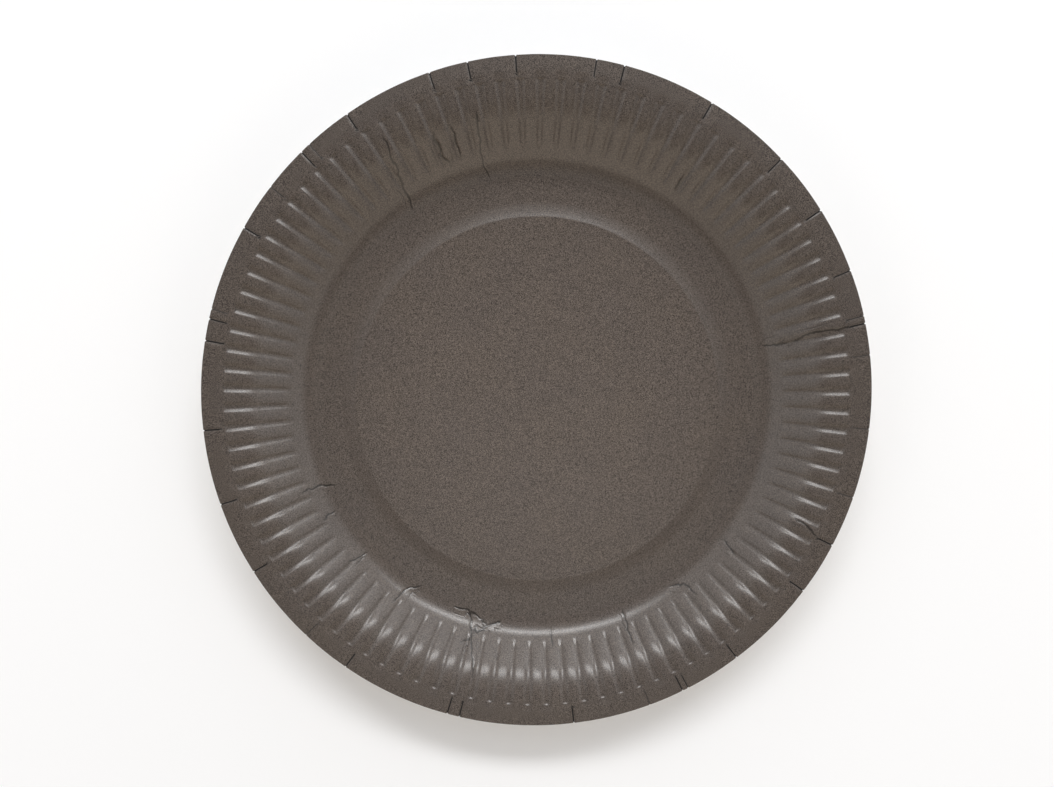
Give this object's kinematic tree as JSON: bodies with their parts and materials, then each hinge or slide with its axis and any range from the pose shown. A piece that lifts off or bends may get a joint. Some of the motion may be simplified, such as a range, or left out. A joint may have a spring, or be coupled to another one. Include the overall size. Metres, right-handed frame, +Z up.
{
  "type": "paper plate",
  "caption": "Round disposable plate pressed from one sheet of dark taupe coated board, with a raised centre panel, fluted rim and plain gathered lip.",
  "frame": {"origin": "centre of the plate at the plane its foot ring stands on", "axes": "+Z up along the plate's axis, out of the dish"},
  "size_m": [0.23, 0.23, 0.0184],
  "materials": {
    "board": "matt to satin printed coating on pressed paperboard, plain board on the underside"
  },
  "bodies": {
    "root": {"plate": "board"}
  },
  "joints": []
}
